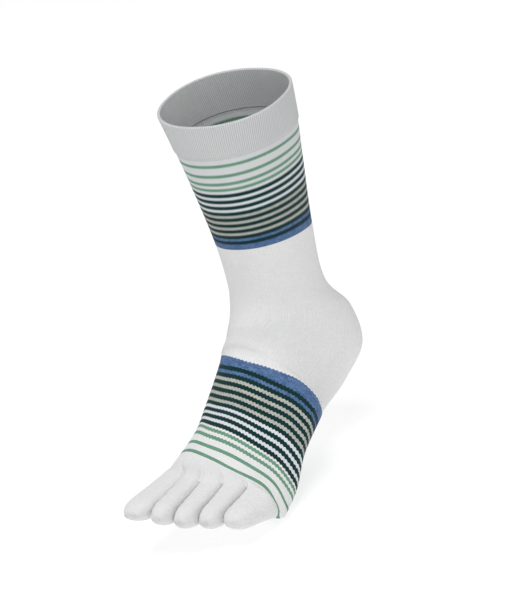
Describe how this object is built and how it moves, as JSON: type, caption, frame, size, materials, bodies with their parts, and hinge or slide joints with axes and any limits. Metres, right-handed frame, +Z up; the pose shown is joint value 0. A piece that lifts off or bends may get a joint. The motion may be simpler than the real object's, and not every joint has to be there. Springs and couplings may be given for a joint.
{
  "type": "toe sock",
  "caption": "Toe sock in its worn shape: a ribbed doubled cuff, a striped leg and forefoot, a plain ankle and heel pocket, and a separate knitted pocket for each toe.",
  "frame": {"origin": "mount foot, under the leg and level with the lowest part of the sole, where the foot that fills the sock would stand", "axes": "+Z up the leg, -Y towards the toes, +X towards the little toe"},
  "size_m": [0.1038, 0.2729, 0.2826],
  "materials": {
    "rib_knit": "white cotton rib, fine upright ribs",
    "plain_knit": "white cotton jersey knit, matt",
    "striped_knit": "cotton jersey knit in round stripes of green, dark teal, oatmeal and denim blue on white"
  },
  "bodies": {
    "root": {"cuff": "rib_knit", "leg_band": "striped_knit", "ankle": "plain_knit", "heel_pocket": "plain_knit", "foot_band": "striped_knit", "toe_box": "plain_knit", "big_toe": "plain_knit", "second_toe": "plain_knit", "third_toe": "plain_knit", "fourth_toe": "plain_knit", "little_toe": "plain_knit"}
  },
  "joints": []
}
